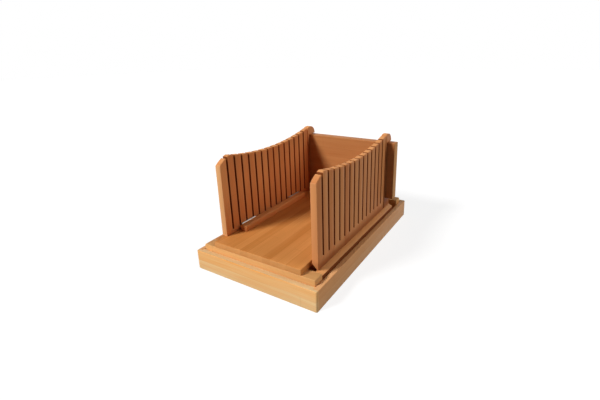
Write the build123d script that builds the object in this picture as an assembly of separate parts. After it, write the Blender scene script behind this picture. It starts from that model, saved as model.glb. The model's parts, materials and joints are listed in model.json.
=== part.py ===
"""Folding bread slicer guide of bamboo, standing in its tray.

The deck lies between two slotted walls, whose slots face each other in pairs and
guide a knife. The walls fold inwards, the right one first and the left one over
it. The back panel stands in two C-shaped posts and draws out backwards. The tray
is a closed box; the guide lifts out of it.

Frame: millimetres, +Z up, +X to the right, the open front at -Y. The origin is
the middle of the tray's footprint, on the table.
"""
from build123d import *
import os

# ---------------------------------------------------------------- driving dimensions
# Tray
tray_width = 232.0
tray_depth = 370.0
tray_height = 33.0
tray_end_board = 10.0       # thickness of the front and rear walls, seen as the rim
tray_side_board = 8.5       # thickness of the left and right walls
floor_thickness = 5.0
floor_lift = 4.0            # underside of the floor above the table
groove_depth = 4.0          # how far the floor sits in the tray walls
rebate = 5.0                # how far the side walls are let into the end walls
tray_corner_radius = 2.5
edge_ease = 1.0             # rounding of the edges that a hand meets

# Guide frame
guide_clearance = 1.0       # between the guide frame and the tray walls
rail_depth = 20.0
rail_rise = 9.0             # the frame stands this far above the tray rim
board = 10.0                # deck and slotted walls
deck_inset = 23.0           # from the end of a rail to the side of the deck
cross_rail_front = 112.0
cross_rail_rear = 132.0
strip_left_width = 8.5
strip_right_width = 11.0
strip_fall = 4.0            # the right strip's top falls this far to its outer edge
strip_ledge = 0.3           # level part of the strip's top, outside the right wall
sawn_ease = 0.8             # chamfer of the boards' long edges

# Slotted walls
wall_front = -151.0
wall_rear = 100.9
left_wall_outer = -88.0
right_wall_inner = 88.0
slot_count = 14
slot_width = 3.9
slot_pitch = 17.0
first_slot = -135.5
slot_floor_rise = 6.3       # the slots end this far above the deck
corner_start_height = 174.0
corner_middle = (-143.0, 179.8)     # (y, z) along the front corner and the scooped top
front_peak = (-129.0, 186.5)
scoop_low = (-20.0, 175.5)
rear_peak = (108.0, 191.3)

# Back panel and the posts that hold it
panel_thickness = 18.0
panel_front = 110.5
panel_left = -102.0
panel_right = 113.0
panel_top = 175.0
panel_step = 10.0           # the panel's lower corners are cut up by this much
panel_foot_inset = 2.0      # from the deck's right side to the panel's lower part
panel_corner_radius = 1.5
post_front = 104.1
post_neck = 4.4             # thickness of the post in front of the panel
post_gap = 0.4              # between a post and the panel's top, step and side
post_foot_rear = 132.0
post_hook_rear = 131.5
hook_crown = (114.0, 191.9)     # (y, z) along the rounded hook
hook_shoulder = (126.6, 187.4)
hook_lip = 3.0              # height of the hook's square end

# Butt hinges
hinge_length = 34.0
hinge_centres = (-100.0, 40.0)
knuckle_radius = 2.0
pin_radius = 1.0
pin_play = 0.05
leaf_thickness = 1.0
leaf_length = 8.0
axis_offset = 2.25          # from the hinge axis to each board that it joins
axis_drop = 1.8             # hinge axis below the surface that the wall folds onto
knuckle_gap = 0.3
screw_head_radius = 1.7     # at the face of the leaf
screw_neck_radius = 0.9     # where the countersunk head meets the wood
screw_sides = 12
screw_spacing = 20.0
screw_reach = 5.0           # from the hinge axis down the leaf to a screw
fold_play = 0.5             # air between the two walls when both lie folded
cleat_width = 12.0
cleat_front = -122.0
cleat_rear = 62.0
cleat_bevel = 2.0

# Wooden dowels between the deck and its rails
dowel_radius = 3.0
dowel_length = 14.0
dowel_spread = 60.0         # from the middle of the deck to each dowel

# Modelling aids
cut_margin = 1.0            # how far a cutting shape reaches past the wood
pick_tolerance = 0.1        # for choosing edges by their place

# ---------------------------------------------------------------- derived places
half_width = tray_width / 2
half_depth = tray_depth / 2
floor_top = floor_lift + floor_thickness
frame_half_width = half_width - tray_side_board - guide_clearance
frame_front = -half_depth + tray_end_board + guide_clearance
frame_rear = -frame_front
frame_top = tray_height + rail_rise
deck_top = frame_top + board
deck_half_width = frame_half_width - deck_inset
left_wall_inner = left_wall_outer + board
right_wall_outer = right_wall_inner + board
panel_rear = panel_front + panel_thickness
right_axis_x = right_wall_inner - axis_offset
right_axis_z = deck_top - axis_drop
left_axis_x = left_wall_inner + axis_offset
left_axis_z = right_axis_z + board + fold_play
cleat_left = left_axis_x + axis_offset
cleat_top = deck_top + board
hinge_starts = [centre - hinge_length / 2 for centre in hinge_centres]


# ---------------------------------------------------------------- helpers
def block(x0, x1, y0, y1, z0, z1):
    """A box between two corners."""
    size = (x1 - x0, y1 - y0, z1 - z0)
    return Pos(x0, y0, z0) * Box(*size, align=(Align.MIN, Align.MIN, Align.MIN))


def rod(radius, start, length, axis):
    """A round bar from start along an axis: "X", "Y" or "Z"."""
    turns = {"X": Rot(0, 90, 0), "Y": Rot(-90, 0, 0), "Z": Rot(0, 0, 0)}
    bar = Cylinder(radius, length, align=(Align.CENTER, Align.CENTER, Align.MIN))
    return Pos(*start) * turns[axis] * bar


def prism_along_y(points, y0, y1):
    """A straight bar whose (x, z) section is given, from y0 to y1."""
    section = Plane.XZ * make_face(Polyline(*points, close=True))
    return Pos(0, y1, 0) * extrude(section, y1 - y0)


def board_from_side_profile(outline, x0, x1):
    """A board standing across X, cut to a profile drawn in (y, z)."""
    return Pos(x0, 0, 0) * extrude(Plane.YZ * make_face(outline), x1 - x0)


def save(name, shape):
    """One STEP file for one named piece."""
    os.makedirs("parts", exist_ok=True)
    shape.label = name
    export_step(shape, os.path.join("parts", name + ".step"))


# ---------------------------------------------------------------- tray
def tray_floor():
    """The floor panel, held in a groove all round."""
    x = half_width - tray_side_board + groove_depth
    y = half_depth - tray_end_board + groove_depth
    return block(-x, x, -y, y, floor_lift, floor_top)


def tray_end_wall(side):
    """The front (-1) or rear (+1) wall, over the full width, rebated for the side walls."""
    y0, y1 = sorted((side * half_depth, side * (half_depth - tray_end_board)))
    wall = block(-half_width, half_width, y0, y1, 0, tray_height)
    upright = wall.edges().filter_by(Axis.Z)
    corners = [e for e in upright if abs(e.center().Y - side * half_depth) < pick_tolerance]
    wall = fillet(corners, tray_corner_radius)
    wall = fillet(wall.edges().group_by(Axis.Z)[-1], edge_ease)
    return wall - tray_floor() - [tray_side_blank(-1), tray_side_blank(1)]


def tray_side_blank(side):
    """The plain stick that a side wall is made from."""
    x0, x1 = sorted((side * half_width, side * (half_width - tray_side_board)))
    reach = half_depth - tray_end_board + rebate
    return block(x0, x1, -reach, reach, 0, tray_height)


def tray_side_wall(side):
    """The left (-1) or right (+1) wall, let into the end walls."""
    wall = tray_side_blank(side)
    long_edges = wall.edges().group_by(Axis.Z)[-1].filter_by(Axis.Y)
    wall = fillet(long_edges, edge_ease)
    return wall - tray_floor()


# ---------------------------------------------------------------- guide frame
def deck_dowels():
    """Blind dowels that pin the deck to the three rails under it."""
    pegs = []
    middle = (cross_rail_front + cross_rail_rear) / 2
    for y in (frame_front + rail_depth / 2, middle, frame_rear - rail_depth / 2):
        for x in (-dowel_spread, dowel_spread):
            start = (x, y, frame_top - dowel_length / 2)
            pegs.append(rod(dowel_radius, start, dowel_length, "Z"))
    return Compound(pegs)


def rail(y0, y1):
    """A cross rail that stands on the tray floor and carries the deck."""
    bar = block(-frame_half_width, frame_half_width, y0, y1, floor_top, frame_top)
    top_edges = bar.edges().group_by(Axis.Z)[-1]
    bar = chamfer(top_edges, sawn_ease)
    return bar - deck_dowels()


def cross_rail():
    """The rail under the back panel, between the two side strips."""
    left = -frame_half_width + strip_left_width
    right = frame_half_width - strip_right_width
    bar = block(left, right, cross_rail_front, cross_rail_rear, floor_top, frame_top)
    return bar - deck_dowels()


def left_strip():
    """A square-topped strip along the left of the frame."""
    x0 = -frame_half_width
    y0, y1 = frame_front + rail_depth, cross_rail_rear
    bar = block(x0, x0 + strip_left_width, y0, y1, floor_top, frame_top)
    return chamfer(bar.edges().group_by(Axis.Z)[-1].filter_by(Axis.Y), sawn_ease)


def right_strip():
    """The strip that the right wall's foot rests on; its top falls outwards."""
    outer = frame_half_width
    inner = outer - strip_right_width
    ledge = right_wall_outer + strip_ledge
    section = [(inner, floor_top), (outer, floor_top), (outer, frame_top - strip_fall),
               (ledge, frame_top), (inner, frame_top)]
    return prism_along_y(section, frame_front + rail_depth, cross_rail_rear)


def deck():
    """The board between the walls, flush with the front and rear rails."""
    x = deck_half_width
    plank = block(-x, x, frame_front, frame_rear, frame_top, deck_top)
    plank = fillet(plank.edges().group_by(Axis.Z)[-1], edge_ease)
    return plank - deck_dowels()


def hinge_cleat():
    """The batten that lifts the left wall's hinges by one board."""
    cleat_right = cleat_left + cleat_width
    bar = block(cleat_left, cleat_right, cleat_front, cleat_rear, deck_top, cleat_top)
    inner_edge = bar.edges().filter_by(Axis.Y).group_by(Axis.Z)[-1].sort_by(Axis.X)[-1]
    return chamfer(inner_edge, cleat_bevel)


# ---------------------------------------------------------------- slotted walls
def scooped_top(y):
    """Height of the walls' scooped top edge at y, on the arc through its three points."""
    (ya, za), (yb, zb), (yc, zc) = front_peak, scoop_low, rear_peak
    d = 2 * (ya * (zb - zc) + yb * (zc - za) + yc * (za - zb))
    a2, b2, c2 = ya**2 + za**2, yb**2 + zb**2, yc**2 + zc**2
    centre_y = (a2 * (zb - zc) + b2 * (zc - za) + c2 * (za - zb)) / d
    centre_z = (a2 * (yc - yb) + b2 * (ya - yc) + c2 * (yb - ya)) / d
    radius = ((ya - centre_y)**2 + (za - centre_z)**2)**0.5
    return centre_z - (radius**2 - (y - centre_y)**2)**0.5


def slotted_wall(inner, outer, foot):
    """A board with a scooped top, sawn into a comb from above."""
    x0, x1 = sorted((inner, outer))
    rear_top = (wall_rear, scooped_top(wall_rear))
    outline = [
        Line((wall_front, foot), (wall_front, corner_start_height)),
        ThreePointArc((wall_front, corner_start_height), corner_middle, front_peak),
        ThreePointArc(front_peak, scoop_low, rear_top),
        Line(rear_top, (wall_rear, foot)),
        Line((wall_rear, foot), (wall_front, foot)),
    ]
    blank = board_from_side_profile(outline, x0, x1)
    blank = chamfer(blank.edges().filter_by(GeomType.CIRCLE), sawn_ease)
    slots = []
    for index in range(slot_count):
        y0 = first_slot + index * slot_pitch - slot_width / 2
        slots.append(block(x0 - cut_margin, x1 + cut_margin, y0, y0 + slot_width,
                           deck_top + slot_floor_rise, rear_peak[1] + cut_margin))
    return blank - slots


def right_wall_foot_cut():
    """The bevel that turns the right wall's foot into a wedge, beside its hinges."""
    reach = right_axis_x + right_axis_z + axis_offset * 2**0.5
    x0 = right_wall_inner - cut_margin
    tip = reach - frame_top
    below = frame_top - cut_margin
    section = [(x0, reach - x0), (tip, frame_top), (tip, below), (x0, below)]
    return prism_along_y(section, wall_front - cut_margin, wall_rear + cut_margin)


# ---------------------------------------------------------------- back panel and posts
def back_panel():
    """The end stop, with its lower corners stepped up to clear the posts' feet."""
    left = left_wall_inner + post_gap
    right = deck_half_width - panel_foot_inset
    step = deck_top + panel_step
    outline = [(left, deck_top), (right, deck_top), (right, step),
               (panel_right, step), (panel_right, panel_top),
               (panel_left, panel_top), (panel_left, step), (left, step)]
    panel = prism_along_y(outline, panel_front, panel_rear)
    ends = panel.edges().filter_by(Axis.Y).group_by(Axis.Z)[-1]
    panel = fillet(ends, panel_corner_radius)
    level = panel.edges().filter_by(Axis.X)
    top_edges = [e for e in level if abs(e.center().Z - panel_top) < pick_tolerance]
    return chamfer(top_edges, sawn_ease)


def end_post(x0, x1, foot):
    """A C-shaped post: foot, thin neck in front of the panel, rounded hook over it."""
    neck_rear = post_front + post_neck
    hook_floor = panel_top + post_gap
    foot_top = deck_top + panel_step - post_gap
    front_top = (post_front, scooped_top(post_front))
    hook_end = (post_hook_rear, hook_floor + hook_lip)
    outline = [
        Line((post_front, foot), front_top),
        ThreePointArc(front_top, rear_peak, hook_crown),
        ThreePointArc(hook_crown, hook_shoulder, hook_end),
        Line(hook_end, (post_hook_rear, hook_floor)),
        Line((post_hook_rear, hook_floor), (neck_rear, hook_floor)),
        Line((neck_rear, hook_floor), (neck_rear, foot_top)),
        Line((neck_rear, foot_top), (post_foot_rear, foot_top)),
        Line((post_foot_rear, foot_top), (post_foot_rear, foot)),
        Line((post_foot_rear, foot), (post_front, foot)),
    ]
    return board_from_side_profile(outline, x0, x1)


# ---------------------------------------------------------------- hinges
def leaf(normal, along, knuckles):
    """One hinge leaf about an axis along Y at the origin.

    normal points from the axis to the board, along points down the leaf, and
    knuckles lists the stretches of Y that this leaf wraps round the pin.
    """
    def corner(out, down):
        return (normal[0] * out + along[0] * down, normal[1] * out + along[1] * down)

    near, far = axis_offset - leaf_thickness, axis_offset
    clear = knuckle_radius + 2 * knuckle_gap
    plate = [corner(near, clear), corner(far, clear),
             corner(far, leaf_length), corner(near, leaf_length)]
    shape = prism_along_y(plate, 0, hinge_length)
    root = [corner(near, 0), corner(far, 0), corner(far, clear), corner(near, clear)]
    for y0, y1 in knuckles:
        shape += prism_along_y(root, y0, y1)
        shape += rod(knuckle_radius, (0, y0, 0), y1 - y0, "Y")
    return shape


def leaf_screws(normal, along):
    """The countersunk heads of the two screws in a leaf, flush with its face."""
    screws = []
    angle = {(-1, 0): 180, (1, 0): 0}.get(normal, 45)
    near = axis_offset - leaf_thickness
    for sign in (-1, 1):
        x = normal[0] * near + along[0] * screw_reach
        y = hinge_length / 2 + sign * screw_spacing / 2
        z = normal[1] * near + along[1] * screw_reach
        face = RegularPolygon(screw_head_radius, screw_sides)
        neck = Pos(0, 0, leaf_thickness) * RegularPolygon(screw_neck_radius, screw_sides)
        screws.append(Pos(x, y, z) * Rot(0, 90 - angle, 0) * loft([face, neck]))
    return screws


def hinge_sets(axis_x, axis_z, fixed_side, moving_side):
    """Both hinges of one wall: fixed leaves, moving leaves, pins and screws."""
    third = hinge_length / 3
    outer_knuckles = [(0, third - knuckle_gap), (2 * third + knuckle_gap, hinge_length)]
    inner_knuckle = [(third, 2 * third)]
    fixed, moving, pins, fixed_screws, moving_screws = [], [], [], [], []
    for start in hinge_starts:
        place = Pos(axis_x, start, axis_z)
        pin = rod(pin_radius, (0, 0, 0), hinge_length, "Y")
        running_bore = rod(pin_radius + pin_play, (0, 0, 0), hinge_length, "Y")
        screws_a = leaf_screws(*fixed_side)
        screws_b = leaf_screws(*moving_side)
        fixed.append(place * (leaf(*fixed_side, outer_knuckles) - pin - screws_a))
        moving.append(place * (leaf(*moving_side, inner_knuckle) - running_bore - screws_b))
        pins.append(place * pin)
        fixed_screws += [place * s for s in screws_a]
        moving_screws += [place * s for s in screws_b]
    return fixed, moving, pins, fixed_screws, moving_screws


# ---------------------------------------------------------------- build and save
slant = 0.5**0.5
right_hinges = hinge_sets(right_axis_x, right_axis_z,
                          ((-1, 0), (0, -1)), ((slant, slant), (slant, -slant)))
left_hinges = hinge_sets(left_axis_x, left_axis_z,
                         ((1, 0), (0, -1)), ((-1, 0), (0, -1)))

right_wall = slotted_wall(right_wall_inner, right_wall_outer, frame_top) - right_wall_foot_cut()

nodes = {
    "tray_front_wall": tray_end_wall(-1),
    "tray_rear_wall": tray_end_wall(1),
    "tray_left_wall": tray_side_wall(-1),
    "tray_right_wall": tray_side_wall(1),
    "tray_floor": tray_floor(),
    "front_rail": rail(frame_front, frame_front + rail_depth),
    "rear_rail": rail(frame_rear - rail_depth, frame_rear),
    "cross_rail": cross_rail(),
    "left_side_strip": left_strip(),
    "right_side_strip": right_strip(),
    "deck_board": deck(),
    "deck_dowels": deck_dowels(),
    "left_hinge_cleat": hinge_cleat(),
    "left_end_post": end_post(left_wall_outer, left_wall_inner, deck_top),
    "right_end_post": end_post(right_wall_inner, right_wall_outer, frame_top),
    "left_slotted_wall": slotted_wall(left_wall_inner, left_wall_outer, deck_top),
    "right_slotted_wall": right_wall,
    "back_panel": back_panel(),
}
hinge_piece_names = ("fixed_leaves", "wall_leaves", "pins", "fixed_screws", "wall_screws")
for side, pieces in (("left", left_hinges), ("right", right_hinges)):
    for piece_name, solids in zip(hinge_piece_names, pieces):
        nodes[f"{side}_hinge_{piece_name}"] = Compound(solids)

for name, shape in nodes.items():
    save(name, shape)
    solids = shape.solids()
    print(f"{name}: {len(solids)} solids, {sum(s.volume for s in solids):.0f} mm3")
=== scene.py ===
# %% [markdown]
# # A folding bread slicer guide of bamboo
#
# The object is carpentry: sawn boards of glued bamboo, some dowels and four small butt
# hinges. The CAD frame already has every board at its real size, so this notebook is about
# what makes such boards look real. Their arrises are eased with sandpaper, their strips
# differ in tone, and the fibres, the glue lines and the knuckles of the cane show.

# %% Load the frame
import json
import math

import bmesh
import bpy
from mathutils import Matrix, Vector


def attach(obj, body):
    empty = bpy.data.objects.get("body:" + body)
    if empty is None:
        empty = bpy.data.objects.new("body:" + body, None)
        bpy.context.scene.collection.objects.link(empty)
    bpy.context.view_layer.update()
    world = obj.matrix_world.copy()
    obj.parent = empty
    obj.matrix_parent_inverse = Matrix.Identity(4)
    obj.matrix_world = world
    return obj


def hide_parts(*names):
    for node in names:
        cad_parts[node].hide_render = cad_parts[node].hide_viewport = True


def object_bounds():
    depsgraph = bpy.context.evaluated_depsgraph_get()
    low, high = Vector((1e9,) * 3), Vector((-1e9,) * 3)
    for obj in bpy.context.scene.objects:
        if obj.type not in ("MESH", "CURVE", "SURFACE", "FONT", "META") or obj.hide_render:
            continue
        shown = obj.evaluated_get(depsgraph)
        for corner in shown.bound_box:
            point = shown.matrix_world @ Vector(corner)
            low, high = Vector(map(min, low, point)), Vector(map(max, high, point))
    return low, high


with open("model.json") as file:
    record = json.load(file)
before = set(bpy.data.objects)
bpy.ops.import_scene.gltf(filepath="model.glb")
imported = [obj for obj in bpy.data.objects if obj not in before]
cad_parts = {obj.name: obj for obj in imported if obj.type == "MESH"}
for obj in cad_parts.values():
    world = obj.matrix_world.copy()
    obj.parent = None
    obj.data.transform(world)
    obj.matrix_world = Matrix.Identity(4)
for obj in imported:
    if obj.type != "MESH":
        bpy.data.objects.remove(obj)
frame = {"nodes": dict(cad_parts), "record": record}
cad_low, cad_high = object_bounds()
MM = 0.001
size = [round(v / MM, 1) for v in cad_high - cad_low]
print("frame:", len(frame["nodes"]), "nodes, size in mm", size)

# %% [markdown]
# ## Camera
# The camera stands to the right of the open end and looks down along the guide. Its place
# and its three angles come from matching the corners of the tray, the rails and the walls
# with the picture. A wide lens so close to the object makes the strong perspective. The
# small shift moves the picture's middle without turning the camera, so that upright edges
# keep their lean.

# %% Camera
PICTURE_WIDTH = 600.0
PICTURE_HEIGHT = 400.0
CAMERA_PLACE = Vector((334.4, -532.8, 334.3)) * MM
CAMERA_YAW = 30.8
CAMERA_PITCH = 17.85
CAMERA_ROLL = -0.96
FOCAL_PIXELS = 360.8
PICTURE_MIDDLE = (321.8, 172.6)
SENSOR_MM = 36.0


def make_camera():
    """A camera at the picture's place, turned about its own three axes."""
    data = bpy.data.cameras.new("camera")
    data.sensor_width = SENSOR_MM
    data.lens = FOCAL_PIXELS * SENSOR_MM / PICTURE_WIDTH
    data.shift_x = (PICTURE_WIDTH / 2 - PICTURE_MIDDLE[0]) / PICTURE_WIDTH
    data.shift_y = (PICTURE_MIDDLE[1] - PICTURE_HEIGHT / 2) / PICTURE_WIDTH
    camera = bpy.data.objects.new("camera", data)
    turn = Matrix.Rotation(math.radians(CAMERA_YAW), 4, "Z")
    turn @= Matrix.Rotation(math.radians(90 - CAMERA_PITCH), 4, "X")
    turn @= Matrix.Rotation(math.radians(CAMERA_ROLL), 4, "Z")
    camera.matrix_world = Matrix.Translation(CAMERA_PLACE) @ turn
    bpy.context.scene.collection.objects.link(camera)
    bpy.context.scene.camera = camera
    return camera


camera = make_camera()
print("camera: lens", round(camera.data.lens, 2), "mm")

# %% [markdown]
# ## Light and floor
# A key from the front left lights the faces that look at the open end. A broad fill comes
# from the right and a little from behind, so that it reaches the outside of the slats but
# hardly the cheeks of the slots, which stay dark as in the picture. The world adds only a
# little. The Light Path node tells the rays of the eye and of mirrors from those that carry
# light, so the world can look white, also in the steel, while it adds little light to the
# wood. The floor glows in the same way, and its own grey takes the tray's soft shadow.

# %% Light and floor
WORLD_LIGHT = 0.03
KEY_STRENGTH = 3.4
KEY_DIRECTION = Vector((-0.40, -0.68, 0.62))
KEY_SOFTNESS = 16.0
FILL_STRENGTH = 1.2
FILL_DIRECTION = Vector((0.76, 0.34, 0.55))
FILL_SOFTNESS = 40.0
FLOOR_SIZE = 8.0
FLOOR_TONE = 0.25
FLOOR_LIFT = 0.82
FLOOR_ROUGHNESS = 0.9
FLOOR_GLOSS = 0.1
WHITE = (1.0, 1.0, 1.0, 1.0)


def seen_directly(tree):
    """1 for a ray that the eye or a mirror sends out, 0 for one that carries light."""
    path = tree.nodes.new("ShaderNodeLightPath")
    seen = path.outputs["Is Camera Ray"]
    for kind in ("Is Glossy Ray", "Is Transmission Ray"):
        either = tree.nodes.new("ShaderNodeMath")
        either.operation = "MAXIMUM"
        tree.links.new(seen, either.inputs[0])
        tree.links.new(path.outputs[kind], either.inputs[1])
        seen = either.outputs[0]
    return seen


def make_world():
    """An even world that looks white and lights the object more gently."""
    world = bpy.data.worlds.new("pale_world")
    bpy.context.scene.world = world
    world.use_nodes = True
    tree = world.node_tree
    level = tree.nodes.new("ShaderNodeMapRange")
    level.inputs["To Min"].default_value = WORLD_LIGHT
    level.inputs["To Max"].default_value = 1.0
    tree.links.new(seen_directly(tree), level.inputs["Value"])
    background = tree.nodes["Background"]
    background.inputs["Color"].default_value = WHITE
    tree.links.new(level.outputs["Result"], background.inputs["Strength"])


def make_lamp(name, strength, direction, softness):
    """A soft lamp far away in one direction."""
    data = bpy.data.lights.new(name, "SUN")
    data.energy = strength
    data.angle = math.radians(softness)
    lamp = bpy.data.objects.new(name, data)
    lamp.rotation_euler = direction.to_track_quat("Z", "Y").to_euler()
    bpy.context.scene.collection.objects.link(lamp)


def make_floor():
    """A plane under the tray that looks nearly white and keeps the shadow."""
    bm = bmesh.new()
    bmesh.ops.create_grid(bm, x_segments=1, y_segments=1, size=FLOOR_SIZE)
    mesh = bpy.data.meshes.new("floor")
    bm.to_mesh(mesh)
    bm.free()
    floor = bpy.data.objects.new("floor", mesh)
    bpy.context.scene.collection.objects.link(floor)
    material = bpy.data.materials.new("pale_floor")
    material.use_nodes = True
    tree = material.node_tree
    shader = tree.nodes["Principled BSDF"]
    shader.inputs["Base Color"].default_value = (FLOOR_TONE, FLOOR_TONE, FLOOR_TONE, 1)
    shader.inputs["Roughness"].default_value = FLOOR_ROUGHNESS
    shader.inputs["Specular IOR Level"].default_value = FLOOR_GLOSS
    shader.inputs["Emission Color"].default_value = WHITE
    lift = tree.nodes.new("ShaderNodeMath")
    lift.operation = "MULTIPLY"
    lift.inputs[1].default_value = FLOOR_LIFT
    tree.links.new(seen_directly(tree), lift.inputs[0])
    tree.links.new(lift.outputs[0], shader.inputs["Emission Strength"])
    mesh.materials.append(material)


scene = bpy.context.scene
scene.view_settings.view_transform = "Standard"
make_world()
make_lamp("key", KEY_STRENGTH, KEY_DIRECTION, KEY_SOFTNESS)
make_lamp("fill", FILL_STRENGTH, FILL_DIRECTION, FILL_SOFTNESS)
make_floor()
print("light: world", WORLD_LIGHT, "key", KEY_STRENGTH, "fill", FILL_STRENGTH)

# %% [markdown]
# ## Small helpers for node trees
# A material is easier to read when each node is one line. put() makes a node and either
# links or sets each socket that it is given. calc(), ramp() and mix() are put() for one
# sum, one smooth step and one blend of colours.

# %% Node helpers
def put(tree, kind, sockets=None, **settings):
    """One shader node with its settings, and its sockets linked or set."""
    made = tree.nodes.new("ShaderNode" + kind)
    for name, value in settings.items():
        setattr(made, name, value)
    for name, value in (sockets or {}).items():
        if isinstance(value, bpy.types.NodeSocket):
            tree.links.new(value, made.inputs[name])
        else:
            made.inputs[name].default_value = value
    return made


def calc(tree, operation, a, b=0.0, c=0.0):
    """The result of one Math node."""
    return put(tree, "Math", {0: a, 1: b, 2: c}, operation=operation).outputs[0]


def ramp(tree, value, low, high, to_low=0.0, to_high=1.0):
    """A smooth step of value between low and high."""
    sockets = {"Value": value, "From Min": low, "From Max": high, "To Min": to_low,
               "To Max": to_high}
    return put(tree, "MapRange", sockets, interpolation_type="SMOOTHSTEP").outputs["Result"]


def mix(tree, share, below, above):
    """The colour below, with a share of the colour above laid over it."""
    return put(tree, "MixRGB", {"Fac": share, "Color1": below, "Color2": above}).outputs[0]


def scaled(color, factor):
    """A colour made darker or lighter by a factor, and never brighter than white."""
    return tuple(min(1.0, channel * factor) for channel in color[:3]) + (1.0,)


def new_group(name, inputs, outputs):
    """An empty node group with named sockets, and its two end nodes."""
    tree = bpy.data.node_groups.new(name, "ShaderNodeTree")
    for label, kind, default in inputs:
        socket = tree.interface.new_socket(label, in_out="INPUT",
                                           socket_type="NodeSocket" + kind)
        if default is not None:
            socket.default_value = default
    for label, kind in outputs:
        tree.interface.new_socket(label, in_out="OUTPUT", socket_type="NodeSocket" + kind)
    return tree, tree.nodes.new("NodeGroupInput"), tree.nodes.new("NodeGroupOutput")


def srgb(red, green, blue):
    """A colour given as on a screen, from 0 to 255, as Blender's linear colour."""
    def linear(value):
        share = value / 255
        return share / 12.92 if share <= 0.04045 else ((share + 0.055) / 1.055) ** 2.4

    return (linear(red), linear(green), linear(blue), 1.0)


# %% [markdown]
# ## Bamboo as a pattern
# A bamboo board is a row of glued strips. Each was split from its own cane, so each has its
# own tone and its knuckles sit at their own places. Inside a strip run fibres: long thin
# dark dashes along the grain, which become dots on the end grain. One noise, stretched
# along the grain, gives both, because it is a solid pattern that every face cuts through.
#
# The group works on a vector whose x runs along the grain and y across the strips. It puts
# out a tone from 0 to 1, a mask of the glue lines and knuckles, and a height for bump.

# %% Bamboo group
FIBRE_ALONG = 16.0
FIBRE_ACROSS = 850.0
FIGURE_ALONG = 5.0
FIGURE_ACROSS = 70.0
FIGURE_CONTRAST = 0.7
STRIP_SLIDE = 7.3
KNUCKLE_SPACING = 270 * MM
KNUCKLE_WOBBLE = 6 * MM
KNUCKLE_WIDTH = 1.6 * MM
KNUCKLE_DARKNESS = 0.10
GLUE_WIDTH = 0.25 * MM
GLUE_DARKNESS = 0.35
MARK_DEPTH = 0.8


def stretched_noise(tree, along, place, scale_along, scale_across, detail):
    """Noise whose grains are long in the direction of the fibres."""
    vector = put(tree, "CombineXYZ", {
        "X": calc(tree, "MULTIPLY", along, scale_along),
        "Y": calc(tree, "MULTIPLY", place["Y"], scale_across),
        "Z": calc(tree, "MULTIPLY", place["Z"], scale_across)}).outputs[0]
    return put(tree, "TexNoise", {"Vector": vector, "Scale": 1.0, "Detail": detail}).outputs[0]


def from_middle(tree, turns):
    """How far a repeating value is from the middle of its turn, from 0 to 0.5."""
    return calc(tree, "ABSOLUTE", calc(tree, "SUBTRACT", calc(tree, "FRACT", turns), 0.5))


def bamboo_group():
    """Strips, fibres, glue lines and knuckles of a bamboo board."""
    inputs = [("Grain", "Vector", None), ("Strip Width", "Float", 18 * MM),
              ("Strip Contrast", "Float", 0.5), ("Fibre Contrast", "Float", 0.5),
              ("Knuckle Spacing", "Float", KNUCKLE_SPACING), ("Seed", "Float", 0.0)]
    outputs = [("Tone", "Float"), ("Marks", "Float"), ("Height", "Float")]
    tree, given, result = new_group("bamboo_strips", inputs, outputs)
    value = given.outputs
    place = put(tree, "SeparateXYZ", {0: value["Grain"]}).outputs

    lane = calc(tree, "ADD", calc(tree, "DIVIDE", place["Y"], value["Strip Width"]), value["Seed"])
    index = calc(tree, "FLOOR", lane)
    strip = put(tree, "TexWhiteNoise", {"W": index}, noise_dimensions="1D").outputs["Value"]
    along = calc(tree, "MULTIPLY_ADD", strip, STRIP_SLIDE, place["X"])

    fibre = stretched_noise(tree, along, place, FIBRE_ALONG, FIBRE_ACROSS, 3.0)
    figure = stretched_noise(tree, along, place, FIGURE_ALONG, FIGURE_ACROSS, 2.0)

    wobble = calc(tree, "MULTIPLY", calc(tree, "SUBTRACT", figure, 0.5), KNUCKLE_WOBBLE)
    turns = calc(tree, "DIVIDE", calc(tree, "ADD", along, wobble), value["Knuckle Spacing"])
    off = calc(tree, "MULTIPLY", from_middle(tree, turns), value["Knuckle Spacing"])
    knuckle = ramp(tree, off, KNUCKLE_WIDTH, 0.0)
    inset = calc(tree, "SUBTRACT", 0.5, from_middle(tree, lane))
    glue = ramp(tree, calc(tree, "MULTIPLY", inset, value["Strip Width"]), GLUE_WIDTH, 0.0)

    tone = 0.5
    for pattern, contrast in ((strip, value["Strip Contrast"]), (fibre, value["Fibre Contrast"]),
                              (figure, FIGURE_CONTRAST)):
        tone = calc(tree, "MULTIPLY_ADD", calc(tree, "SUBTRACT", pattern, 0.5), contrast, tone)
    marks = calc(tree, "MAXIMUM", calc(tree, "MULTIPLY", knuckle, KNUCKLE_DARKNESS),
                 calc(tree, "MULTIPLY", glue, GLUE_DARKNESS))
    height = calc(tree, "SUBTRACT", fibre, calc(tree, "MULTIPLY", marks, MARK_DEPTH))
    tree.links.new(tone, result.inputs["Tone"])
    tree.links.new(marks, result.inputs["Marks"])
    tree.links.new(height, result.inputs["Height"])
    return tree


BAMBOO = bamboo_group()
print("node group:", BAMBOO.name)

# %% [markdown]
# ## Handled edges
# Where hands and sandpaper pass, the arris of a board is paler and smoother than its faces.
# The Bevel node looks at the surface nearby: where its rounded normal differs from the real
# one, there is an edge. Several materials use that mask, so it is a group.

# %% Edge group
NOT_AN_EDGE = 0.995
FULL_EDGE = 0.80
RUB_SCALE = 90.0
RUB_SPOTS = (0.35, 0.65)
LEAST_RUB = 0.4


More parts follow.
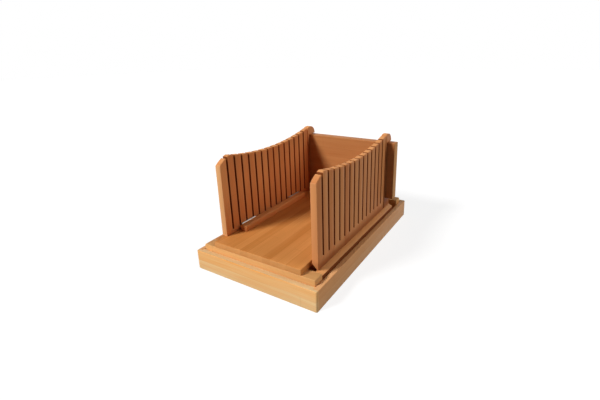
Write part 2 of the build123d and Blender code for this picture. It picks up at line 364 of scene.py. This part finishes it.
def edge_group():
    """A mask of the arrises, broken up by a little noise."""
    inputs = [("Position", "Vector", None), ("Radius", "Float", 1.2 * MM)]
    tree, given, result = new_group("handled_edges", inputs, [("Edge", "Float")])
    rounded = put(tree, "Bevel", {"Radius": given.outputs["Radius"]}, samples=4).outputs[0]
    flat = put(tree, "NewGeometry").outputs["Normal"]
    likeness = put(tree, "VectorMath", {0: rounded, 1: flat}, operation="DOT_PRODUCT")
    turn = ramp(tree, likeness.outputs["Value"], NOT_AN_EDGE, FULL_EDGE)
    spots = {"Vector": given.outputs["Position"], "Scale": RUB_SCALE, "Detail": 3.0}
    broken = ramp(tree, put(tree, "TexNoise", spots).outputs[0], *RUB_SPOTS, LEAST_RUB, 1.0)
    tree.links.new(calc(tree, "MULTIPLY", turn, broken), result.inputs["Edge"])
    return tree


EDGES = edge_group()
print("node group:", EDGES.name)

# %% [markdown]
# ## Bamboo finishes
# One function makes every bamboo finish. It turns the pattern so that its x follows the
# grain of the board: front to back in the deck, left to right in the rails and the panel,
# upright in the slats. Two tones span the board's colours and a third darkens the glue
# lines and knuckles. Sanded end grain is paler and duller than the faces. The cheeks of the
# slots and the right strip's outer side get a dark brown that is painted shade, for the shade
# in the slots and in the gap above the tray's rim. The walls' front faces get a pale tone
# that is a painted highlight, stronger on the left wall. The walls' feet and the necks of
# the posts grow darker towards the bottom, which is painted shade as well.
#
# In the walls a strip is as wide as the step from one slot to the next, so that every slat
# gets a tone of its own.

# %% Bamboo finishes
SLOT_PITCH = 17.0 * MM
FIRST_SLOT = -135.5 * MM
WALL_ENDS = (-150.0 * MM, 100.0 * MM)
STRIP_SIDES = (105.0 * MM, 108.0 * MM)
# Heights over which the walls' feet and the posts' necks get painted shade towards the bottom.
FOOT_SHADE_HEIGHTS = (44.0 * MM, 59.0 * MM)
NECK_SHADE_HEIGHTS = (150.0 * MM, 174.0 * MM)
# Painted colours: the first tone is painted shade in the slots and on the strip's side, the second
# a painted highlight on the walls' front faces, the third painted shade towards the bottom.
PAINTED_SHADE_TONE = srgb(128, 66, 26)
PAINTED_HIGHLIGHT_TONE = srgb(232, 172, 116)
LOW_SHADE_TONE = srgb(144, 76, 36)
LOW_SHADE_SHARE = 0.75
END_GRAIN_TONE = srgb(226, 166, 106)
BURNT_SHARE = 0.42
RUBBED_GAIN = 1.18
FACES_ALONG_GRAIN = (0.75, 0.95)
# Which faces take the painted shade and the painted highlight.
FACES_ALONG_PAINT_AXIS = (0.70, 0.95)
ROUGHNESS = 0.55
TONE_ROUGHNESS = -0.10
END_GRAIN_ROUGHNESS = 0.12
OIL_GLOSS = 0.12
OIL_IOR = 1.46
GRAIN_STRENGTH = 0.35
GRAIN_DEPTH = 0.25 * MM


def facing(tree, coordinates, axis, limits):
    """1 on faces that look along an axis, 0 on the others, smooth on rounded edges."""
    normal = put(tree, "SeparateXYZ", {0: coordinates.outputs["Normal"]}).outputs[axis]
    return ramp(tree, calc(tree, "ABSOLUTE", normal), *limits)


def bamboo(name, grain, across, dark, light, strip, strips, fibres=0.55, seed=0.0,
           wear=0.25, ends=0.45, shade_axis=None, stretch=None, highlight_share=0.0, shade_heights=None):
    """A satin bamboo finish with its grain and its row of strips along two axes.

    strip is the width of a strip, and strips, fibres, wear and ends tell how much its tone,
    the fibres, the rubbed edges and the pale end grain show. Faces that look along the axis
    shade_axis within a stretch of that axis get painted shade, and highlight_share tells how
    pale a painted highlight makes them outside of it. shade_heights gives two heights: from
    the second down to the first, the colour grows darker, which is painted shade.
    """
    material = bpy.data.materials.new(name)
    material.use_nodes = True
    tree = material.node_tree
    shader = tree.nodes["Principled BSDF"]
    coordinates = put(tree, "TexCoord")
    place = put(tree, "SeparateXYZ", {0: coordinates.outputs["Object"]}).outputs
    depth = ({"X", "Y", "Z"} - {grain, across}).pop()
    turned = put(tree, "CombineXYZ", {"X": place[grain], "Y": place[across], "Z": place[depth]})

    pattern = put(tree, "Group", node_tree=BAMBOO)
    tree.links.new(turned.outputs[0], pattern.inputs["Grain"])
    pattern.inputs["Strip Width"].default_value = strip
    pattern.inputs["Strip Contrast"].default_value = strips
    pattern.inputs["Fibre Contrast"].default_value = fibres
    pattern.inputs["Seed"].default_value = seed
    edges = put(tree, "Group", node_tree=EDGES)
    tree.links.new(coordinates.outputs["Object"], edges.inputs["Position"])

    surface = mix(tree, pattern.outputs["Tone"], dark, light)
    surface = mix(tree, pattern.outputs["Marks"], surface, scaled(dark, BURNT_SHARE))
    end = facing(tree, coordinates, grain, FACES_ALONG_GRAIN)
    surface = mix(tree, calc(tree, "MULTIPLY", end, ends), surface, END_GRAIN_TONE)
    rubbed = calc(tree, "MULTIPLY", edges.outputs["Edge"], wear)
    surface = mix(tree, rubbed, surface, scaled(light, RUBBED_GAIN))
    # Painted shade: darker towards the bottom, for the shade at the walls' feet and the posts'
    # necks.
    if shade_heights:
        oil = ramp(tree, place["Z"], shade_heights[1], shade_heights[0])
        surface = mix(tree, calc(tree, "MULTIPLY", oil, LOW_SHADE_SHARE), surface, LOW_SHADE_TONE)
    # Painted shade on faces along one axis inside a stretch, and a painted highlight on such faces
    # outside it.
    if shade_axis:
        inside = calc(tree, "MULTIPLY", calc(tree, "GREATER_THAN", place[shade_axis], stretch[0]),
                      calc(tree, "LESS_THAN", place[shade_axis], stretch[1]))
        flat = facing(tree, coordinates, shade_axis, FACES_ALONG_PAINT_AXIS)
        shade_mask = calc(tree, "MULTIPLY", flat, inside)
        highlight_mask = calc(tree, "MULTIPLY", calc(tree, "SUBTRACT", flat, shade_mask), highlight_share)
        surface = mix(tree, highlight_mask, surface, PAINTED_HIGHLIGHT_TONE)
        surface = mix(tree, shade_mask, surface, PAINTED_SHADE_TONE)
    tree.links.new(surface, shader.inputs["Base Color"])

    satin = calc(tree, "MULTIPLY_ADD", pattern.outputs["Tone"], TONE_ROUGHNESS, ROUGHNESS)
    satin = calc(tree, "MULTIPLY_ADD", end, END_GRAIN_ROUGHNESS, satin)
    tree.links.new(satin, shader.inputs["Roughness"])
    shader.inputs["IOR"].default_value = OIL_IOR
    shader.inputs["Specular IOR Level"].default_value = OIL_GLOSS
    bump = put(tree, "Bump", {"Strength": GRAIN_STRENGTH, "Distance": GRAIN_DEPTH,
                              "Height": pattern.outputs["Height"]})
    tree.links.new(bump.outputs[0], shader.inputs["Normal"])
    return material


DECK_FINISH = bamboo("oiled_deck", "Y", "X", srgb(190, 117, 53), srgb(223, 154, 86),
                     14.5 * MM, 0.5, seed=3.0)
RAIL_FINISH = bamboo("oiled_rail", "X", "Z", srgb(207, 142, 78), srgb(236, 184, 121),
                     21 * MM, 0.35, seed=8.0)
# The right strip's outer side gets painted shade, for the dark gap above the tray's rim.
STRIP_FINISH = bamboo("oiled_side_strip", "Y", "Z", srgb(202, 128, 70), srgb(230, 164, 102),
                      21 * MM, 0.35, seed=5.0, shade_axis="X", stretch=STRIP_SIDES)
TRAY_END_FINISH = bamboo("oiled_tray_end", "X", "Z", srgb(240, 167, 88), srgb(255, 234, 184),
                         16.5 * MM, 0.8, seed=11.0)
TRAY_SIDE_FINISH = bamboo("oiled_tray_side", "Y", "Z", srgb(226, 156, 98), srgb(248, 194, 136),
                          16.5 * MM, 0.5, seed=11.0)
# The posts' necks get painted shade towards the bottom.
POST_FINISH = bamboo("oiled_posts", "Z", "Y", srgb(196, 118, 66), srgb(224, 152, 94),
                     40 * MM, 0.2, seed=4.0, shade_heights=NECK_SHADE_HEIGHTS)
PANEL_FINISH = bamboo("oiled_panel", "X", "Z", srgb(168, 100, 54), srgb(194, 136, 83),
                      19 * MM, 0.4, seed=2.0, ends=0.85)
SLAT_FINISHES = {}
# The walls get painted shade in the slots and towards their feet, and a painted highlight on their
# front faces, stronger on the left wall.
for side, shift, highlight_share in (("left", 20, 0.9), ("right", 0, 0.25)):
    SLAT_FINISHES[side] = bamboo(
        "oiled_" + side + "_slats", "Z", "Y", srgb(196, 116, 64), srgb(224, 152, 92),
        SLOT_PITCH, 0.45, seed=shift - FIRST_SLOT / SLOT_PITCH, wear=0.15,
        shade_axis="Y", stretch=WALL_ENDS, highlight_share=highlight_share, shade_heights=FOOT_SHADE_HEIGHTS)
print("finishes:", len(bpy.data.materials), "materials so far")

# %% [markdown]
# ## Steel
# The hinges are small stamped butts with a brushed finish. Long fine scratches run down
# the leaves, and the rubbed edges are brighter. The screws are duller.

# %% Steel finishes
SCRATCHES = (2400.0, 90.0, 2400.0)
SCRATCH_STRENGTH = 0.25
SCRATCH_DEPTH = 0.04 * MM
SMUDGE_SCALE = 160.0
SMUDGE_SHARE = 0.72
BRIGHT_GAIN = 1.25
STEEL_EDGE = 0.3 * MM


def steel(name, color, roughness, scratch):
    """Brushed steel with fine scratches along Y and rubbed edges."""
    material = bpy.data.materials.new(name)
    material.use_nodes = True
    tree = material.node_tree
    shader = tree.nodes["Principled BSDF"]
    position = put(tree, "TexCoord").outputs["Object"]
    stretched = put(tree, "Mapping", {"Vector": position, "Scale": SCRATCHES}).outputs[0]
    lines = put(tree, "TexNoise", {"Vector": stretched, "Scale": 1.0, "Detail": 2.0}).outputs[0]
    spots = {"Vector": position, "Scale": SMUDGE_SCALE, "Detail": 3.0}
    smudges = put(tree, "TexNoise", spots).outputs[0]
    edges = put(tree, "Group", node_tree=EDGES)
    edges.inputs["Radius"].default_value = STEEL_EDGE
    tree.links.new(position, edges.inputs["Position"])
    surface = mix(tree, smudges, scaled(color, SMUDGE_SHARE), color)
    surface = mix(tree, edges.outputs["Edge"], surface, scaled(color, BRIGHT_GAIN))
    tree.links.new(surface, shader.inputs["Base Color"])
    shader.inputs["Metallic"].default_value = 1.0
    gloss = calc(tree, "MULTIPLY_ADD", lines, scratch, roughness)
    tree.links.new(gloss, shader.inputs["Roughness"])
    bump = put(tree, "Bump", {"Strength": SCRATCH_STRENGTH, "Distance": SCRATCH_DEPTH,
                              "Height": lines})
    tree.links.new(bump.outputs[0], shader.inputs["Normal"])
    return material


HINGE_FINISH = steel("brushed_hinge", srgb(196, 192, 184), 0.26, 0.22)
SCREW_FINISH = steel("dull_screw", srgb(176, 172, 164), 0.38, 0.15)
print("finishes:", len(bpy.data.materials), "materials with the steel")

# %% [markdown]
# ## Eased boards
# A sawn board with knife-sharp edges looks like a drawing. On the real guide every arris
# was broken with sandpaper, and it is that thin rounded line that catches the light. Each
# board is copied from the frame, its loose triangles are merged and its flat faces joined,
# and then the sharp edges get a small bevel. The bevel only takes wood away, so the board
# stays within its CAD size.

# %% Board helper
SHARP_ANGLE = math.radians(28)
SMOOTH_ANGLE = math.radians(40)
FLAT_ANGLE = math.radians(0.5)
SAME_POINT = 0.002 * MM


def merged_copy(node):
    """A bmesh of a CAD node with its triangles merged into whole faces."""
    bm = bmesh.new()
    bm.from_mesh(frame["nodes"][node].data)
    bmesh.ops.remove_doubles(bm, verts=bm.verts, dist=SAME_POINT)
    bmesh.ops.dissolve_limit(bm, angle_limit=FLAT_ANGLE, verts=bm.verts, edges=bm.edges)
    return bm


def sharp_edges(bm):
    """The edges where two faces meet at a clear angle."""
    return [e for e in bm.edges if len(e.link_faces) == 2 and e.calc_face_angle() > SHARP_ANGLE]


def ease(bm, edges, width, segments=2):
    """A small rounding along edges."""
    bmesh.ops.bevel(bm, geom=edges, offset=width, offset_type="OFFSET", segments=segments,
                    profile=0.5, affect="EDGES", clamp_overlap=True, material=-1)


def stand_in(bm, name, node, body, finish):
    """Turns a bmesh into the piece that is shown in place of a CAD node."""
    mesh = bpy.data.meshes.new(name)
    bm.to_mesh(mesh)
    bm.free()
    mesh.shade_smooth()
    mesh.set_sharp_from_angle(angle=SMOOTH_ANGLE)
    mesh.materials.append(finish)
    piece = bpy.data.objects.new(name, mesh)
    bpy.context.scene.collection.objects.link(piece)
    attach(piece, body)
    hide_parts(node)
    return piece


# %% [markdown]
# ## The plain boards
# Tray, rails, strips, deck, cleat, posts and panel need nothing but their arrises eased.
# The posts and the panel, which hands meet most, are rounder than the hidden rails. The
# table gives each board its finish and the width of its rounding in millimetres.

# %% Plain boards
BODIES = frame["record"]["behaviour"]["bodies"]
BODY_OF = {node: body for body, nodes in BODIES.items() for node in nodes}
PLAIN_BOARDS = {
    "tray_front_wall": (TRAY_END_FINISH, 0.35),
    "tray_rear_wall": (TRAY_END_FINISH, 0.35),
    "tray_left_wall": (TRAY_SIDE_FINISH, 0.35),
    "tray_right_wall": (TRAY_SIDE_FINISH, 0.35),
    "tray_floor": (STRIP_FINISH, 0.3),
    "front_rail": (RAIL_FINISH, 0.3),
    "rear_rail": (RAIL_FINISH, 0.3),
    "cross_rail": (RAIL_FINISH, 0.3),
    "left_side_strip": (STRIP_FINISH, 0.3),
    "right_side_strip": (STRIP_FINISH, 0.4),
    "deck_board": (DECK_FINISH, 0.35),
    "left_hinge_cleat": (STRIP_FINISH, 0.4),
    "left_end_post": (POST_FINISH, 0.5),
    "right_end_post": (POST_FINISH, 0.5),
    "back_panel": (PANEL_FINISH, 0.5),
}

for node, (finish, width) in PLAIN_BOARDS.items():
    board = merged_copy(node)
    ease(board, sharp_edges(board), width * MM)
    print("board:", node, len(board.faces), "faces")
    stand_in(board, "bamboo_" + node, node, BODY_OF[node], finish)

# %% [markdown]
# ## The slotted walls
# After the saw has cut the slots, each slat stands alone like a tooth, and its top corners
# are sanded rounder than the rest, because the knife is laid on them. So the edges across
# the top of the slots are rounded first, by more than a millimetre, and then the others.
#
# Clamping keeps roundings from crossing, but it holds every edge of a call back to what the
# shortest one allows. The first call uses up the small chamfers that the frame's slats have
# there and leaves very short edges, so the second comes out much finer than the width that
# it is given. What it still does is keep the shading of the slats crisp.

# %% Slotted walls
MOUTH_EASE = 1.3 * MM
MOUTH_SEGMENTS = 3
MOUTH_HEIGHT = 150 * MM
SLAT_EASE = 0.35 * MM


def slot_mouths(bm):
    """The edges that run through the wall's thickness at the top of each slat."""
    found = []
    for edge in sharp_edges(bm):
        along = (edge.verts[0].co - edge.verts[1].co).normalized()
        upright, level = sorted(abs(face.normal.z) for face in edge.link_faces)
        middle = (edge.verts[0].co + edge.verts[1].co) / 2
        runs_through = abs(along.x) > 0.9
        is_a_corner = upright < 0.1 and level > 0.6
        if runs_through and is_a_corner and middle.z > MOUTH_HEIGHT:
            found.append(edge)
    return found


for side in ("left", "right"):
    node = side + "_slotted_wall"
    wall = merged_copy(node)
    mouths = slot_mouths(wall)
    ease(wall, mouths, MOUTH_EASE, MOUTH_SEGMENTS)
    ease(wall, sharp_edges(wall), SLAT_EASE)
    print("wall:", side, len(mouths), "slot mouths,", len(wall.faces), "faces")
    stand_in(wall, side + "_slat_wall", node, BODY_OF[node], SLAT_FINISHES[side])

# %% [markdown]
# ## Hinge screws
# A countersunk head is a short cone with a cross punched into its flat face. That face is
# inset once for the rim. Four cuts mark the cross, whose faces are pushed down. The
# finished head is copied to each place where the frame has a screw, and turned to an angle
# of its own, as screws stop where they are tight.

# %% Hinge screws
HEAD_RADIUS = 1.62 * MM
HEAD_DEPTH = 0.9 * MM
HEAD_TAPER = 0.6
HEAD_SEGMENTS = 24
CROSS_HALF_WIDTH = 0.26 * MM
CROSS_REACH = 1.05 * MM
INSIDE_RIM = 0.9
CROSS_DEPTH = 0.55 * MM
CROSS_TAPER = 0.75
FIRST_TURN = 0.7
TURN_STEP = 1.9


def faces_up(face):
    """Whether a face of the head looks along +Z."""
    return face.normal.z > 0.9


def screw_head():
    """A countersunk head with a cross recess, its flat face at the origin, looking along +Z."""
    bm = bmesh.new()
    bmesh.ops.create_cone(bm, cap_ends=True, segments=HEAD_SEGMENTS,
                          radius1=HEAD_RADIUS * HEAD_TAPER, radius2=HEAD_RADIUS,
                          depth=HEAD_DEPTH, matrix=Matrix.Translation((0, 0, -HEAD_DEPTH / 2)))
    top = [face for face in bm.faces if faces_up(face)]
    bmesh.ops.inset_region(bm, faces=top, thickness=HEAD_RADIUS - CROSS_REACH)
    for axis in (Vector((1, 0, 0)), Vector((0, 1, 0))):
        for sign in (-1, 1):
            inner = [f for f in bm.faces
                     if faces_up(f) and f.calc_center_median().length < CROSS_REACH]
            around = [e for e in bm.edges if any(f in inner for f in e.link_faces)]
            corners = [v for v in bm.verts if any(f in inner for f in v.link_faces)]
            bmesh.ops.bisect_plane(bm, geom=inner + around + corners, dist=SAME_POINT / 2,
                                   plane_co=axis * sign * CROSS_HALF_WIDTH, plane_no=axis)
    cross = []
    for face in bm.faces:
        middle = face.calc_center_median()
        near = min(abs(middle.x), abs(middle.y)) < CROSS_HALF_WIDTH
        if faces_up(face) and near and middle.length < CROSS_REACH * INSIDE_RIM:
            cross.append(face)
    pushed = bmesh.ops.extrude_face_region(bm, geom=cross)
    bottom = [item for item in pushed["geom"] if isinstance(item, bmesh.types.BMVert)]
    bmesh.ops.delete(bm, geom=cross, context="FACES")
    bmesh.ops.translate(bm, verts=bottom, vec=(0, 0, -CROSS_DEPTH))
    bmesh.ops.scale(bm, verts=bottom, vec=(CROSS_TAPER, CROSS_TAPER, 1.0))
    bmesh.ops.recalc_face_normals(bm, faces=bm.faces)
    mesh = bpy.data.meshes.new("screw_head")
    bm.to_mesh(mesh)
    bm.free()
    return mesh


def head_places(node):
    """Where each screw's flat face is, and which way it looks.

    The node's mesh holds several screws. Faces that share an edge belong to one of them,
    and its largest face is the flat one.
    """
    bm = merged_copy(node)
    places = []
    unused = set(bm.faces)
    for start in bm.faces:
        if start not in unused:
            continue
        unused.discard(start)
        screw = set()
        queue = [start]
        while queue:
            face = queue.pop()
            screw.add(face)
            neighbours = {f for e in face.edges for f in e.link_faces} & unused
            unused -= neighbours
            queue.extend(neighbours)
        flat = max(screw, key=lambda face: face.calc_area())
        places.append((flat.calc_center_median(), flat.normal.copy()))
    bm.free()
    return places


HEAD = screw_head()
for side in ("left", "right"):
    for holder in ("fixed", "wall"):
        node = f"{side}_hinge_{holder}_screws"
        screws = bmesh.new()
        for number, (middle, normal) in enumerate(head_places(node)):
            one = bmesh.new()
            one.from_mesh(HEAD)
            spin = Matrix.Rotation(FIRST_TURN + TURN_STEP * number, 4, "Z")
            turn = normal.to_track_quat("Z", "X").to_matrix().to_4x4()
            place = Matrix.Translation(middle) @ turn @ spin
            bmesh.ops.transform(one, verts=one.verts, matrix=place)
            copy = bpy.data.meshes.new("one_head")
            one.to_mesh(copy)
            one.free()
            screws.from_mesh(copy)
            bpy.data.meshes.remove(copy)
        print("screws:", node, len(screws.faces), "faces")
        stand_in(screws, f"{side}_{holder}_screw_heads", node, BODY_OF[node], SCREW_FINISH)

# %% [markdown]
# ## Finishes on the frame's own pieces
# The hinge leaves, pins and dowels already have the right shape in CAD, so they stay and
# only get their finish. Pieces that a stand-in replaced are hidden by now, and are passed
# over. The dowels are birch, a close-grained wood that the bamboo group can imitate with
# faint strips.

# %% Finishes on CAD nodes
DOWEL_FINISH = bamboo("birch_dowel", "Z", "Y", srgb(206, 172, 128), srgb(232, 204, 164),
                      9 * MM, 0.1)
for node, piece in frame["nodes"].items():
    if piece.hide_render:
        continue
    finish = DOWEL_FINISH if "dowel" in node else HINGE_FINISH
    piece.data.materials.clear()
    piece.data.materials.append(finish)
    print("kept from the frame:", node)
